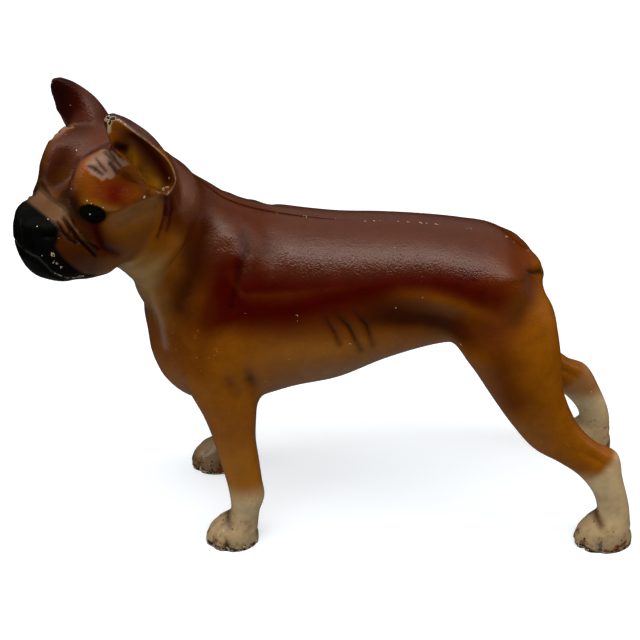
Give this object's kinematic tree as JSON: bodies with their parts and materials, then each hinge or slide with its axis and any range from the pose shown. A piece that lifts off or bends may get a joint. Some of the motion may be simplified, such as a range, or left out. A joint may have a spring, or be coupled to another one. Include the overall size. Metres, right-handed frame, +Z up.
{
  "type": "dog doorstop",
  "caption": "Standing short-haired guard dog cast in iron as hollow left and right halves screwed together, painted, head turned to its left, used to hold a door open.",
  "frame": {"origin": "on the floor under the middle of the figure's box", "axes": "+X towards the tail, -X towards the nose, +Y to the dog's right, +Z up"},
  "size_m": [0.2624, 0.0938, 0.208],
  "materials": {
    "painted_iron": "airbrushed satin enamel, worn at the edges",
    "screw_steel": "steel, painted over with the flank"
  },
  "bodies": {
    "root": {"left_half": "painted_iron", "right_half": "painted_iron", "shoulder_screw": "screw_steel", "hip_screw": "screw_steel"}
  },
  "joints": []
}
